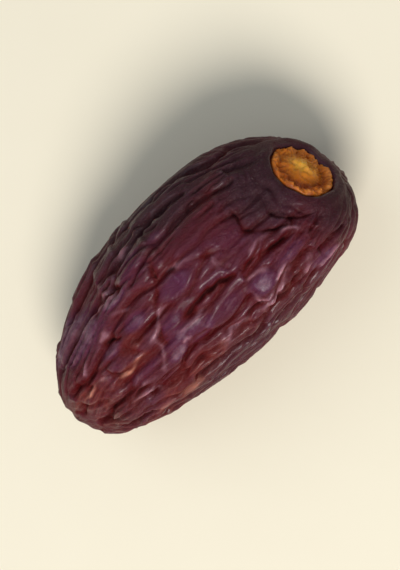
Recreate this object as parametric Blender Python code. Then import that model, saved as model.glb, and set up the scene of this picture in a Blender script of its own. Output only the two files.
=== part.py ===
"""A whole Medjool date, lying on its side.

Metres, +Z up. The long axis runs along X, with the blunt stem end and its scar at +X and the
tip at -X. The origin is on the resting surface, under the middle of the fruit's box.

The fruit grew as one body, so it is one object. It starts as a sphere with its poles at the two
ends, is drawn out to the date's own profile, pressed flat where the real fruit has flat places,
and then wrinkled: its skin dried and shrank into long ridges with narrow creases between them.
"""

import bmesh
import bpy
import numpy as np
from mathutils import Matrix

# Driving dimensions.
LENGTH = 0.0536
WIDTH = 0.0286
HEIGHT = 0.0256
SCAR_RADIUS = 0.0042
RIDGE_DEPTH = 0.00135
FINE_DEPTH = 0.00055
FACET_DEPTH = 0.00055
SWELL_DEPTH = 0.00045

# How finely the skin is divided, round the fruit and from end to end. Rings lie closer at the ends.
SIDES = 100
RINGS = 58
END_EASE = 0.35

# The profile from tip (-1) to stem end (+1): how blunt the ends are, and how the width changes.
BLUNTNESS = 0.775
BLUNTER_TO_STEM = 0.075
TAPER = 0.09
ROUNDING = 0.06
SECTION_POWER = 0.93

# The centre line bows towards +Y and rises a little towards the stem end.
BOW = 0.0017
BOW_TO_STEM = 0.25
RISE = 0.0009

# The scar faces this way: up from the long axis, and round towards +Y. It is a little oval.
SCAR_UP = np.radians(28.0)
SCAR_ROUND = np.radians(13.0)
SCAR_ACROSS = 1.14
SCAR_STEEP = 1.02
SCAR_CUT = 0.0019
SCAR_SOFTNESS = 0.0004
SCAR_DISH = 0.0005
SCAR_CALM = 0.0050
DISH_EDGE = 0.0011

# A lip of skin stands round the scar, and a low oval nub in its middle lies level.
LIP_HEIGHT = 0.0003
LIP_WIDTH = 0.0013
LIP_AT = 1.2 * SCAR_RADIUS
NUB_HEIGHT = 0.0004
NUB_LENGTH = 0.0019
NUB_WIDTH = 0.0011

# The rings of the skin slide this far along it to centre on the scar.
SLIDE_REACH = 0.8 * LENGTH

# The ridges run together at the tip and die away there.
TIP_CALM = 0.0090
TIP_KEEP = 0.18

# The lowest part is pressed to a small flat spot that the fruit rests on.
REST_CUT = 0.0011

# Flat places: the way each one faces, how deep it is pressed in, and how softly it blends.
FLATS = (
    ((0.46, 0.10, 0.88), 0.0010, 0.0009),
    ((0.10, -0.86, 0.50), 0.0011, 0.0010),
    ((-0.35, 0.80, 0.48), 0.0008, 0.0010),
    ((-0.75, -0.25, 0.61), 0.0009, 0.0009),
    ((0.05, 0.90, -0.43), 0.0008, 0.0010),
)

# Places on the top are given in mm as (u, v): u runs along the fruit to the stem end, on a plane
# tipped this far down there, and v runs across it to the side that it bows to.
TOP_TILT = np.radians(15.0)
TOP_FROM = 0.12
TOP_SPAN = 0.25

# Creases on the top, each with its depth in mm.
TOP_CREASES = (
    (((5.0, -2.6), (2.3, -1.8), (-0.3, -1.5), (-3.0, -1.8), (-5.4, -2.1)), 0.95),
    (((-1.1, 8.4), (-2.3, 6.3), (-3.3, 4.0), (-4.8, 2.3), (-6.7, 1.0)), 0.70),
    (((-6.7, 1.0), (-8.0, -0.6), (-8.8, -2.1), (-9.0, -3.7)), 0.80),
    (((-3.3, 4.0), (-1.3, 3.7), (0.9, 2.5), (3.1, 2.3), (6.0, 1.2)), 0.50),
    (((-15.4, 3.9), (-13.6, 3.3), (-11.7, 2.0)), 0.80),
    (((-12.9, 2.3), (-13.0, 0.7), (-11.9, -1.5), (-10.1, -1.8)), 0.55),
    (((-21.9, 0.6), (-19.3, -0.2), (-17.1, -0.4)), 0.60),
    (((-17.1, 1.5), (-16.7, -0.9), (-14.8, -1.9), (-12.6, -2.4)), 0.70),
    (((-20.1, -5.7), (-16.8, -5.3), (-13.4, -5.7), (-11.6, -6.0)), 0.60),
    (((-2.5, -7.5), (-0.3, -8.6), (2.1, -8.9), (4.0, -7.9), (6.7, -8.5)), 0.80),
    (((4.4, -9.3), (8.1, -9.4), (11.8, -9.2), (14.8, -8.9)), 0.70),
    (((7.0, -8.5), (10.0, -8.6), (13.1, -7.9), (15.3, -6.8)), 0.60),
    (((11.3, 4.6), (10.8, 2.2), (11.5, -0.9), (14.1, -2.7), (16.5, -3.2)), 0.65),
    (((14.4, 1.2), (15.6, -1.2), (17.6, -3.5), (19.8, -4.7)), 0.50),
    (((11.5, -1.0), (10.4, -2.3), (7.9, -2.6), (5.0, -2.6)), 0.50),
    (((17.0, -5.6), (14.3, -4.3), (10.7, -3.6), (7.1, -3.8)), 0.55),
    (((14.9, 8.2), (11.8, 8.4), (8.4, 9.0), (4.8, 8.3), (1.9, 7.3)), 0.40),
    (((6.3, 12.1), (2.5, 11.2), (-0.7, 11.0), (-4.5, 10.5)), 0.60),
    (((-10.0, 8.5), (-8.2, 7.9), (-6.6, 7.1)), 0.75),
    (((-13.5, 7.0), (-10.3, 7.7), (-7.9, 7.2)), 0.55),
    (((-9.3, -6.3), (-6.9, -5.6), (-3.7, -5.6), (-2.5, -7.5)), 0.55),
    (((-4.5, -9.4), (-7.5, -8.6), (-9.9, -8.5), (-12.4, -8.6)), 0.55),
)
CREASE_WIDTH = 0.62
CREASE_ENDS = 0.28

# Broad plates on the top that the wrinkles mostly leave alone: middle, half widths and strength.
PLATES = (
    ((4.6, 4.4), (4.6, 3.2), 0.85),
    ((8.6, 1.2), (3.2, 2.6), 0.80),
    ((-1.5, 2.0), (3.4, 1.9), 0.75),
    ((-5.4, -3.6), (2.8, 2.1), 0.70),
    ((1.1, -5.4), (3.4, 1.6), 0.65),
    ((7.1, -6.2), (2.6, 1.5), 0.85),
    ((15.8, 3.2), (5.0, 5.5), 0.65),
    ((-14.0, 0.2), (2.2, 1.2), 0.50),
)
PLATE_RISE = 0.004
PLATE_KEEP = 0.25

# Bands of wrinkles. Each is a sum of short wave packets laid over the skin.
RIDGES = {"seed": 11, "pitch": 0.0044, "across": 0.0026, "along": 0.0065, "gap": 0.75, "tilt": 0.22}
FINE = {"seed": 23, "pitch": 0.0022, "across": 0.0015, "along": 0.0055, "gap": 0.85, "tilt": 0.16}
FACETS = {"seed": 53, "pitch": 0.0085, "across": 0.0050, "along": 0.0080, "gap": 0.80, "tilt": 0.50}
CREASE_POWER = 0.7
BAND_FADE = 0.7

# The ridges are lower on the top, above this share of the half height.
UPPER_FROM = 0.45
UPPER_SPAN = 0.40
UPPER_EASE = 0.35

# Slow swells of the flesh under the skin, and the zones where the fine ridges are strong.
SWELL_SEED = 3
SWELL_PITCH = 0.016
SWELL_STRETCH = 2.2
ZONE_SEED = 5
ZONE_STRETCH = 1.5
ZONE_CONTRAST = 1.2
ZONE_KEEP = 0.35
WAVES = 24

SKIN_COLOUR = (0.085, 0.018, 0.022, 1.0)
SKIN_ROUGHNESS = 0.42

TURN = 2.0 * np.pi
PROFILE_POINTS = 1600
SEARCH_ALONG = 241
SEARCH_ROUND = 181
MILLIMETRE = 0.001

# How packets and waves are scattered: drift along the fruit and round it, as shares of their
# spacing, how near the ends a packet may lie, and the range of a wave's pitch.
DRIFT_ALONG = 0.3
DRIFT_ROUND = 0.4
PACKET_END = 0.995
PITCH_RANGE = (0.6, 1.3)
NUDGE = 1e-3


def smooth_step(value):
    """0 below 0, 1 above 1, and an even curve between."""
    share = np.clip(value, 0.0, 1.0)
    return share * share * (3.0 - 2.0 * share)


def half_share(along):
    """The fruit's half width as a share of the largest, from -1 at the tip to +1 at the stem end."""
    power = BLUNTNESS - BLUNTER_TO_STEM * along
    ends = np.clip(1.0 - along**2, 0.0, None) ** (power / 2.0)
    return ends * (1.0 + TAPER * along - ROUNDING * along**2)


def profile_lengths():
    """Positions along the fruit, and the length of skin from the tip up to each."""
    along = -np.cos(np.linspace(0.0, np.pi, PROFILE_POINTS))
    x = along * LENGTH / 2.0
    radius = half_share(along) * WIDTH / 2.0
    steps = np.hypot(np.diff(x), np.diff(radius))
    return along, np.concatenate([[0.0], np.cumsum(steps)])


def body_points(along, angle):
    """The smooth fruit, with an angle of 0 facing +Y and a quarter turn facing up."""
    share = half_share(along)
    side = np.sign(np.cos(angle)) * np.abs(np.cos(angle)) ** SECTION_POWER
    up = np.sign(np.sin(angle)) * np.abs(np.sin(angle)) ** SECTION_POWER
    bow = BOW * (1.0 - along**2) * (1.0 + BOW_TO_STEM * along)
    x = along * LENGTH / 2.0
    y = bow + share * side * WIDTH / 2.0
    z = RISE * along + share * up * HEIGHT / 2.0
    return np.stack([x, y, z], axis=-1)


def scar_direction():
    """The way the scar faces."""
    flat = np.cos(SCAR_UP)
    return np.array([flat * np.cos(SCAR_ROUND), flat * np.sin(SCAR_ROUND), np.sin(SCAR_UP)])


def farthest(direction):
    """How far the smooth fruit reaches in a direction, and the point that reaches there."""
    along, angle = np.meshgrid(
        np.linspace(-1.0, 1.0, SEARCH_ALONG), np.linspace(0.0, TURN, SEARCH_ROUND)
    )
    points = body_points(along, angle).reshape(-1, 3)
    reach = points @ direction
    return reach.max(), points[reach.argmax()]


def press(points, facing, depth, softness):
    """Pushes in whatever stands beyond a plane set in from the fruit's own reach."""
    direction = np.array(facing) / np.linalg.norm(facing)
    reach, _ = farthest(direction)
    beyond = (points @ direction - (reach - depth)) / softness
    pushed = softness * np.logaddexp(0.0, beyond)
    return points - pushed[..., None] * direction


def fruit_points(along, angle):
    """The smooth fruit with its flat places and the flat of its scar pressed in."""
    points = body_points(along, angle)
    for facing, depth, softness in FLATS:
        points = press(points, facing, depth, softness)
    return press(points, scar_direction(), SCAR_CUT, SCAR_SOFTNESS)


def towards_scar(from_pole, angle):
    """Slides the rings near the stem end so that their common pole is the middle of the scar."""
    _, centre = farthest(scar_direction())
    side_shift = centre[1] - BOW * (1.0 - (2.0 * centre[0] / LENGTH) ** 2)
    up_shift = centre[2] - RISE
    fade = (1.0 - smooth_step(from_pole / SLIDE_REACH)) ** 2
    side = from_pole * np.cos(angle) + side_shift * fade
    up = from_pole * np.sin(angle) + up_shift * fade
    return np.hypot(side, up), np.arctan2(up, side)


def packet_places(band):
    """Where a band's wave packets lie, their wave and crest directions, and their phases."""
    draw = np.random.default_rng(band["seed"])
    along, lengths = profile_lengths()
    ring_gap = band["gap"] * band["along"]
    rings = max(3, round(lengths[-1] / ring_gap))
    places = []
    for ring in range(rings):
        middle = np.interp((ring + 0.5) / rings * lengths[-1], lengths, along)
        girth = TURN * half_share(middle) * (WIDTH + HEIGHT) / 4.0
        count = max(3, round(girth / (band["gap"] * band["across"])))
        for turn in range(count):
            drift = DRIFT_ALONG * ring_gap * draw.normal() / (LENGTH / 2.0)
            share = (turn + 0.5 * (ring % 2) + draw.uniform(-DRIFT_ROUND, DRIFT_ROUND)) / count
            lean = band["tilt"] * draw.normal()
            phase = draw.uniform(-np.pi, np.pi)
            place = np.clip(middle + drift, -PACKET_END, PACKET_END)
            places.append((place, share * TURN, lean, phase))
    at, angle, lean, phase = np.array(places).T
    lengthwise = body_points(np.clip(at + NUDGE, -1, 1), angle) - body_points(at - NUDGE, angle)
    crosswise = body_points(at, angle + NUDGE) - body_points(at, angle - NUDGE)
    lengthwise /= np.linalg.norm(lengthwise, axis=1, keepdims=True)
    crosswise -= lengthwise * (crosswise * lengthwise).sum(axis=1, keepdims=True)
    crosswise /= np.linalg.norm(crosswise, axis=1, keepdims=True)
    cosine, sine = np.cos(lean)[:, None], np.sin(lean)[:, None]
    wave = crosswise * cosine + lengthwise * sine
    crest = lengthwise * cosine - crosswise * sine
    return body_points(at, angle), wave, crest, phase


def packet_sum(points, band):
    """The band's packets added up at each point, as one complex number."""
    total = np.zeros(len(points), complex)
    for centre, wave, crest, phase in zip(*packet_places(band)):
        offset = points - centre
        across = offset @ wave
        along = offset @ crest
        narrow = ((offset**2).sum(axis=1) - along**2) / band["across"] ** 2
        envelope = np.exp(-0.5 * (narrow + along**2 / band["along"] ** 2))
        total += envelope * np.exp(1j * (TURN * across / band["pitch"] + phase))
    return total


def band_creases(points, band):
    """1 in the bottom of a band's creases and 0 on its ridges."""
    total = packet_sum(points, band)
    ridge = np.abs(np.cos(np.angle(total) / 2.0)) ** CREASE_POWER
    return (1.0 - ridge) * smooth_step(np.abs(total) / BAND_FADE)


def band_facets(points, band):
    """0 to 1 in straight slopes, so that flat places meet at an angle."""
    total = packet_sum(points, band)
    return np.abs(np.angle(total)) / np.pi * smooth_step(np.abs(total) / BAND_FADE)


def slow_waves(points, seed, pitch, stretch):
    """A gentle random swell, longer along X than across it."""
    draw = np.random.default_rng(seed)
    wave = draw.normal(size=(WAVES, 3))
    wave /= np.linalg.norm(wave, axis=1)[:, None]
    wave *= TURN / pitch * draw.uniform(*PITCH_RANGE, (WAVES, 1))
    wave[:, 0] /= stretch
    phase = draw.uniform(0.0, TURN, WAVES)
    return np.sin(points @ wave.T + phase).sum(axis=1) / np.sqrt(WAVES / 2.0)


def top_places(points):
    """Each point's (u, v) on the tipped plane, in millimetres."""
    u = points[:, 0] * np.cos(TOP_TILT) - points[:, 2] * np.sin(TOP_TILT)
    v = points[:, 1] - (points[:, 1].min() + points[:, 1].max()) / 2.0
    return np.stack([u, v], axis=-1) / MILLIMETRE


def route_distance(places, route):
    """Distance from each place to a route of straight stretches, and how far along it, 0 to 1."""
    route = np.array(route)
    start, step = route[:-1], np.diff(route, axis=0)
    length = np.linalg.norm(step, axis=1)
    offset = places[:, None, :] - start[None, :, :]
    share = np.clip((offset * step).sum(axis=2) / length**2, 0.0, 1.0)
    gaps = np.linalg.norm(offset - share[..., None] * step, axis=2)
    nearest = gaps.argmin(axis=1)
    rows = np.arange(len(places))
    before = np.concatenate([[0.0], np.cumsum(length)])
    walked = before[nearest] + share[rows, nearest] * length[nearest]
    return gaps[rows, nearest], walked / before[-1]


def top_creases(places, facing_up):
    """Depth, in metres, of the creases placed one by one on the top."""
    depth = np.zeros(len(places))
    for route, deep in TOP_CREASES:
        gap, walked = route_distance(places, route)
        strength = smooth_step(walked / CREASE_ENDS) * smooth_step((1.0 - walked) / CREASE_ENDS)
        depth = np.maximum(depth, deep * np.exp(-gap / CREASE_WIDTH) * strength)
    return depth * facing_up * MILLIMETRE


def plate_shares(places):
    """1 in the middle of a broad plate, falling off softly to 0 outside it."""
    share = np.zeros(len(places))
    for middle, half, strength in PLATES:
        gap = (((places - middle) / half) ** 2).sum(axis=1)
        share = np.maximum(share, strength * np.exp(-(gap**2)))
    return share


def scar_relief(points):
    """The scar's dish, nub and lip, in metres, and each point's distance from its middle in ovals."""
    facing = scar_direction()
    _, outermost = farthest(facing)
    offset = points - (outermost - SCAR_CUT * facing)
    level = np.cross([0.0, 0.0, 1.0], facing)
    level /= np.linalg.norm(level)
    sideways = offset @ level
    upwards = offset @ np.cross(facing, level)
    gap = np.hypot(np.hypot(sideways / SCAR_ACROSS, upwards / SCAR_STEEP), offset @ facing)
    lip = LIP_HEIGHT * np.exp(-(((gap - LIP_AT) / LIP_WIDTH) ** 2))
    nub = NUB_HEIGHT * np.exp(-((sideways / NUB_LENGTH) ** 2) - (upwards / NUB_WIDTH) ** 2)
    nub *= gap < SCAR_RADIUS
    dish = SCAR_DISH * (1.0 - smooth_step((gap - SCAR_RADIUS + DISH_EDGE) / DISH_EDGE))
    return lip + nub - dish, gap


def relief(points, normals):
    """How far the wrinkled skin stands out from the smooth fruit, in metres."""
    upper = smooth_step((points[:, 2] / (HEIGHT / 2.0) - UPPER_FROM) / UPPER_SPAN)
    zone = 0.5 + 0.5 * np.tanh(ZONE_CONTRAST * slow_waves(points, ZONE_SEED, SWELL_PITCH, ZONE_STRETCH))
    places = top_places(points)
    keep = 1.0 - plate_shares(places) * smooth_step(points[:, 2] / PLATE_RISE)
    tipped_up = np.array([np.sin(TOP_TILT), 0.0, np.cos(TOP_TILT)])
    facing_up = smooth_step((normals @ tipped_up - TOP_FROM) / TOP_SPAN)

    scar, from_scar = scar_relief(points)
    from_tip = np.linalg.norm(points - body_points(-1.0, 0.0), axis=1)
    calm = smooth_step((from_scar - SCAR_RADIUS) / SCAR_CALM)
    calm *= TIP_KEEP + (1.0 - TIP_KEEP) * smooth_step(from_tip / TIP_CALM)

    swell = SWELL_DEPTH * slow_waves(points, SWELL_SEED, SWELL_PITCH, SWELL_STRETCH)
    ridges = RIDGE_DEPTH * band_creases(points, RIDGES) * (1.0 - UPPER_EASE * upper)
    ridges *= PLATE_KEEP + (1.0 - PLATE_KEEP) * keep
    fine = FINE_DEPTH * band_creases(points, FINE) * (ZONE_KEEP + (1.0 - ZONE_KEEP) * zone) * keep
    facets = FACET_DEPTH * band_facets(points, FACETS)
    skin = swell - ridges - fine * calm - facets
    return skin * calm - top_creases(places, facing_up) + scar


def make_sphere():
    """A sphere of unit radius with its poles on X."""
    mesh = bpy.data.meshes.new("date")
    work = bmesh.new()
    turned = Matrix.Rotation(np.pi / 2.0, 4, "Y")
    bmesh.ops.create_uvsphere(work, u_segments=SIDES, v_segments=RINGS, radius=1.0, matrix=turned)
    work.to_mesh(mesh)
    work.free()
    return mesh


def read_points(mesh):
    """The mesh's vertices as rows of an array."""
    values = np.empty(len(mesh.vertices) * 3)
    mesh.vertices.foreach_get("co", values)
    return values.reshape(-1, 3)


def write_points(mesh, points):
    """Puts rows of an array back into the mesh."""
    mesh.vertices.foreach_set("co", points.ravel())
    mesh.update()


def shape_fruit(mesh):
    """Turns the sphere into the smooth fruit, its rings spaced along the skin."""
    sphere = read_points(mesh)
    along, lengths = profile_lengths()
    share = np.arccos(np.clip(sphere[:, 0], -1.0, 1.0)) / np.pi
    share -= END_EASE * np.sin(TURN * share) / TURN
    from_pole, angle = towards_scar(share * lengths[-1], np.arctan2(sphere[:, 2], sphere[:, 1]))
    ring = np.interp(lengths[-1] - from_pole, lengths, along)
    write_points(mesh, fruit_points(ring, angle))


def wrinkle(mesh):
    """Moves the skin in and out along its own normals."""
    points = read_points(mesh)
    normals = np.array([normal.vector for normal in mesh.vertex_normals])
    write_points(mesh, points + normals * relief(points, normals)[:, None])


def settle(mesh):
    """Presses the resting spot flat and puts the origin under the middle of the fruit."""
    points = read_points(mesh)
    floor = points[:, 2].min() + REST_CUT
    points[:, 2] = np.maximum(points[:, 2] - floor, 0.0)
    middle = (points[:, :2].min(axis=0) + points[:, :2].max(axis=0)) / 2.0
    points[:, :2] -= middle
    write_points(mesh, points)


def skin_material():
    """Dark red-brown, half glossy skin."""
    material = bpy.data.materials.new("date_skin")
    material.use_nodes = True
    shader = material.node_tree.nodes["Principled BSDF"]
    shader.inputs["Base Color"].default_value = SKIN_COLOUR
    shader.inputs["Roughness"].default_value = SKIN_ROUGHNESS
    return material


def main():
    for item in list(bpy.data.objects):
        bpy.data.objects.remove(item)
    collection = bpy.data.collections.new("medjool_date")
    bpy.context.scene.collection.children.link(collection)
    mesh = make_sphere()
    shape_fruit(mesh)
    wrinkle(mesh)
    settle(mesh)
    mesh.materials.append(skin_material())
    mesh.shade_smooth()
    collection.objects.link(bpy.data.objects.new("date", mesh))


main()
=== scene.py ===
import math

import bpy
import numpy as np
from mathutils import Matrix, Vector


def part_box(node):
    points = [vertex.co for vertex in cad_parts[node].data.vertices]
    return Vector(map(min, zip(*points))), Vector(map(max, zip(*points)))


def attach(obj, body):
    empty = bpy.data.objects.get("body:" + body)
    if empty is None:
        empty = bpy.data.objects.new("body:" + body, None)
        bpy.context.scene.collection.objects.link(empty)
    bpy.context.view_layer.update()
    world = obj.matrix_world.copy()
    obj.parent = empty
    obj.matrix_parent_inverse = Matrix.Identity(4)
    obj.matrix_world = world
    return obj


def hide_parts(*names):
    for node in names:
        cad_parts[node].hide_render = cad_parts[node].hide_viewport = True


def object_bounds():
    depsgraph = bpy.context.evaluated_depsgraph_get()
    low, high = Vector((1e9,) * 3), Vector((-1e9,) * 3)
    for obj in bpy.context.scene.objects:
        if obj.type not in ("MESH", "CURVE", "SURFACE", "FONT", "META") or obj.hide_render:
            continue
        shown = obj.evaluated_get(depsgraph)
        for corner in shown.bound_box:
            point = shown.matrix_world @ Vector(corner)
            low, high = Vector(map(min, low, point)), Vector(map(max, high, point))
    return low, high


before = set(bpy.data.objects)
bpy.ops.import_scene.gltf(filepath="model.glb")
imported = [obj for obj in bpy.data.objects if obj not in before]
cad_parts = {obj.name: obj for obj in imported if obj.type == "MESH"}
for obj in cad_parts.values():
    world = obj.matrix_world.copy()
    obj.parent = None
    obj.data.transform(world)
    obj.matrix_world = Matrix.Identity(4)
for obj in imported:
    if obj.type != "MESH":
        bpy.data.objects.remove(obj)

# A wrinkled date on a cream table top, seen from above and a little from its stem end.
# Shapes are worked out in millimetres along the fruit (x), across it (y) and up (z),
# and fitted into the solid's own box at the end.

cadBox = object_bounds()
dateLow, dateHigh = [np.array(corner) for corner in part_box("date")]
turn = 2 * np.pi

# The fruit before it wrinkled: the same form as its solid.
fruit = {
    "length": 53.6,
    "width": 28.6,
    "height": 25.6,
    "bluntness": 0.775,  # how full the ends are
    "blunterToStem": 0.075,
    "taper": 0.09,  # wider towards the stem end
    "rounding": 0.06,
    "sectionPower": 0.93,  # below 1 is a little boxy
    "bow": 1.7,  # the centre line bends this far to +y
    "bowToStem": 0.25,
    "rise": 0.9,
    "restCut": 1.1,  # pressed flat where it lies
}

# Flat places: the way each faces, how deep it is pressed in, how softly it blends.
flats = [
    ((0.46, 0.1, 0.88), 1.0, 0.9),
    ((0.1, -0.86, 0.5), 1.1, 1.0),
    ((-0.35, 0.8, 0.48), 0.8, 1.0),
    ((-0.75, -0.25, 0.61), 0.9, 0.9),
    ((0.05, 0.9, -0.43), 0.8, 1.0),
]

# Where the stem came off.
stemEnd = {
    "up": 28.0,  # the way it faces, in degrees above the length
    "round": 13.0,  # and towards +y
    "cut": 1.9,
    "softness": 0.4,
    "radius": 4.2,
    "widths": (1.14, 1.02),  # its shape across the fruit and up it
    "raggedness": 0.03,
    "edgeWaves": (2, 3, 5, 7, 11),
    "waveSizes": (0.6, 1.0),
    "seed": 63,
    "notches": ((-106.0, 19.0, 0.13), (92.0, 40.0, 0.13)),  # at this angle, this wide, this deep
    "dish": 1.6,
    "dishEdge": (0.85, 0.25),  # where it begins to rise and over how far, in radii
    "lip": 0.3,
    "lipPlace": (5.04, 1.3),  # how far out it is, and half its width
    "calm": 5.0,  # the skin is smoother this far out
}

# The wrinkles run together and die away at the tip, where the skin is puckered round a dry point.
tip = {
    "calm": 9.0,  # the wrinkles are lower this near the tip
    "keep": 0.18,  # what is left of them there
    "puckers": 13,
    "puckerDepth": 0.24,
    "puckerReach": 4.2,
    "puckerStart": (0.6, 1.2),  # they begin this far out, and are whole this much on
    "puckerPinch": 1.6,
    "puckerWander": 0.8,
    "puckerUneven": (0.6, 0.4, 3.0),  # its middle, how much it varies, how often round the tip
    "puckerRed": 0.8,
    "point": 0.2,
    "pointWidth": 0.75,
    "moat": 0.16,
    "moatPlace": (1.7, 0.7),
    "pitch": 3.0,
    "seed": 71,
}

# The grid of the skin. Rows run from the scar to the tip and are closer at the scar.
skinGrid = {
    "rows": 222,
    "columns": 448,
    "fineReach": 7.0,
    "fineStep": 0.15,
    "coarseShare": 1.12,  # of the even spacing
    "slideReach": 42.9,
}


# Rises from 0 to 1 over a span, slowly at both ends.
def smoothStep(value, begin=0.0, span=1.0):
    share = np.clip((value - begin) / span, 0.0, 1.0)
    return share * share * (3.0 - 2.0 * share)


def unit(vectors):
    return vectors / np.maximum(np.linalg.norm(vectors, axis=-1, keepdims=True), 1e-12)


# A bell curve, 1 at its middle.
def bell(value, middle=0.0, half=1.0):
    return np.exp(-(((value - middle) / half) ** 2))


# Half width as a share of the largest: a circle's ends made fuller by a power, times a taper.
def halfShare(along):
    power = fruit["bluntness"] - fruit["blunterToStem"] * along
    ends = np.clip(1.0 - along**2, 0.0, None) ** (power / 2.0)
    return ends * (1.0 + fruit["taper"] * along - fruit["rounding"] * along**2)


# Length of skin from the tip to each place along the fruit, summed over short straight steps.
def skinLengths(points=1600):
    along = -np.cos(np.linspace(0.0, np.pi, points))
    steps = np.hypot(
        np.diff(along * fruit["length"] / 2.0), np.diff(halfShare(along) * fruit["width"] / 2.0)
    )
    return along, np.concatenate([[0.0], np.cumsum(steps)])


# A squared-off circle carried along a bowed centre line and scaled by the profile.
def bodyPoints(along, angle):
    share = halfShare(along)
    power = fruit["sectionPower"]
    side = np.sign(np.cos(angle)) * np.abs(np.cos(angle)) ** power
    up = np.sign(np.sin(angle)) * np.abs(np.sin(angle)) ** power
    bow = fruit["bow"] * (1.0 - along**2) * (1.0 + fruit["bowToStem"] * along)
    x = along * fruit["length"] / 2.0
    y = bow + share * side * fruit["width"] / 2.0
    z = fruit["rise"] * along + share * up * fruit["height"] / 2.0
    return np.stack([x, y, z], axis=-1)


def scarDirection():
    up, side = np.radians(stemEnd["up"]), np.radians(stemEnd["round"])
    return np.array([np.cos(up) * np.cos(side), np.cos(up) * np.sin(side), np.sin(up)])


# The point of the unwrinkled fruit that is farthest that way, found on a fine grid of it.
def farthest(direction, rings=241, spokes=181):
    along, angle = np.meshgrid(np.linspace(-1.0, 1.0, rings), np.linspace(0.0, turn, spokes))
    points = bodyPoints(along, angle).reshape(-1, 3)
    reach = points @ direction
    return reach.max(), points[reach.argmax()]


# A point beyond the plane is moved back to it, along a soft corner: softness times log(1 + e^x).
def press(points, facing, depth, softness):
    direction = unit(np.array(facing))
    reach, _ = farthest(direction)
    beyond = (points @ direction - (reach - depth)) / softness
    return points - (softness * np.logaddexp(0.0, beyond))[..., None] * direction


def fruitPoints(along, angle):
    points = bodyPoints(along, angle)
    for facing, depth, softness in flats:
        points = press(points, facing, depth, softness)
    return press(points, scarDirection(), stemEnd["cut"], stemEnd["softness"])


def scarCentre():
    _, centre = farthest(scarDirection())
    return centre - stemEnd["cut"] * scarDirection()


# The scar's own directions: level across the fruit, and steeply up it.
def scarAxes():
    facing = scarDirection()
    level = unit(np.cross([0.0, 0.0, 1.0], facing))
    return facing, level, np.cross(facing, level)


# How far out the scar's edge is at each angle, as a share: a few waves round the circle, less a
# bell curve at each notch.
def scarEdge(angle):
    draw = np.random.default_rng(stemEnd["seed"])
    total = np.zeros_like(angle)
    for waves in stemEnd["edgeWaves"]:
        wave = np.cos(waves * angle + draw.uniform(0.0, turn))
        total = total + wave * draw.uniform(*stemEnd["waveSizes"]) / math.sqrt(waves)
    edge = 1.0 + stemEnd["raggedness"] * total
    for at, wide, deep in stemEnd["notches"]:
        turned = np.angle(np.exp(1j * (angle - np.radians(at))))
        edge = edge - deep * bell(turned, 0.0, np.radians(wide))
    return edge


# Distance from the scar's middle, on ovals of the scar's own shape.
def scarGap(points):
    facing, level, steep = scarAxes()
    offset = points - scarCentre()
    across, up = stemEnd["widths"]
    sideways, upwards = offset @ level / across, offset @ steep / up
    out = np.hypot(sideways, upwards) / scarEdge(np.arctan2(upwards, sideways))
    return np.hypot(out, offset @ facing)


# Distance from the scar's middle along the skin for each row, short steps first.
def rowPlaces():
    _, lengths = skinLengths()
    even = np.linspace(0.0, 1.0, 2000)
    reach = skinGrid["fineReach"] / lengths[-1]
    fine, coarse = skinGrid["fineStep"], skinGrid["coarseShare"] * lengths[-1] / skinGrid["rows"]
    step = fine + (coarse - fine) * smoothStep(even, reach, 2.0 * reach)
    rows = np.concatenate([[0.0], np.cumsum(1.0 / step[1:])])
    places = np.interp(np.linspace(0.0, rows[-1], skinGrid["rows"] + 2), rows, even * lengths[-1])
    return places[1:-1]


# Rings round the stem end are slid so that their middle is the scar, fading along the fruit.
def towardsScar(fromPole, angle):
    _, centre = farthest(scarDirection())
    sideShift = centre[1] - fruit["bow"] * (1.0 - (2.0 * centre[0] / fruit["length"]) ** 2)
    upShift = centre[2] - fruit["rise"]
    fade = (1.0 - smoothStep(fromPole / skinGrid["slideReach"])) ** 2
    side = fromPole * np.cos(angle) + sideShift * fade
    up = fromPole * np.sin(angle) + upShift * fade
    return np.hypot(side, up), np.arctan2(up, side)


# The smooth skin as rows by columns of points.
def smoothSkin():
    along, lengths = skinLengths()
    places = rowPlaces()[:, None]
    angle = np.arange(skinGrid["columns"])[None, :] / skinGrid["columns"] * turn
    fromPole, angle = towardsScar(places + 0.0 * angle, angle + 0.0 * places)
    ring = np.interp(lengths[-1] - fromPole, lengths, along)
    return fruitPoints(ring, angle)


# Normals from the differences between neighbours, wrapping round the columns.
def gridNormals(points):
    downRows = np.gradient(points, axis=0)
    roundRow = np.roll(points, -1, axis=1) - np.roll(points, 1, axis=1)
    normals = unit(np.cross(downRows, roundRow))
    if (normals * (points - points.mean(axis=(0, 1)))).sum() < 0:
        normals = -normals
    return normals


# Wrinkle bands. Each is a sum of short wave packets: a wave across the fruit under a bell curve
# that is longer along it. Where the sum's phase passes a half turn there is a crease. The packets
# stand in rings along the fruit, each a little out of its place.
bands = {
    "folds": {"seed": 11, "pitch": 4.4, "across": 2.6, "along": 6.5, "gap": 0.75, "tilt": 0.22},
    "ridges": {"seed": 23, "pitch": 2.2, "across": 1.5, "along": 5.5, "gap": 0.85, "tilt": 0.16},
    "pleats": {"seed": 31, "pitch": 1.1, "across": 0.85, "along": 3.2, "gap": 0.95, "tilt": 0.22},
    "facets": {"seed": 53, "pitch": 8.5, "across": 5.0, "along": 8.0, "gap": 0.8, "tilt": 0.5},
}
packets = {"drift": 0.3, "jitter": 0.4, "mostAlong": 0.995, "reach": 3.2, "nudge": 1e-3}


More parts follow.
